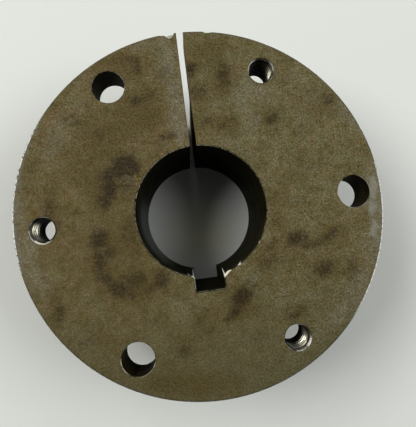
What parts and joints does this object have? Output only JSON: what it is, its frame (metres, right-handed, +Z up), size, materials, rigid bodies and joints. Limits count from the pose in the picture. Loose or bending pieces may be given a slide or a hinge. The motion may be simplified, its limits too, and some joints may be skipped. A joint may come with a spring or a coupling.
{
  "type": "quick disconnect bushing",
  "caption": "Split tapered bushing with a round flange, a keyed bore, plain draw-in screw holes and tapped jacking holes. It clamps a hub onto a shaft.",
  "frame": {"origin": "centre of the barrel's small end, where the bushing stands", "axes": "+Z up along the bore, from the small end to the flange's face; +Y towards the slit; -Y towards the keyway"},
  "size_m": [0.081, 0.081, 0.0333],
  "materials": {
    "iron": "machined, with a dull olive brown patina, brown stains and worn grey edges"
  },
  "bodies": {
    "root": {"bushing": "iron"}
  },
  "joints": []
}
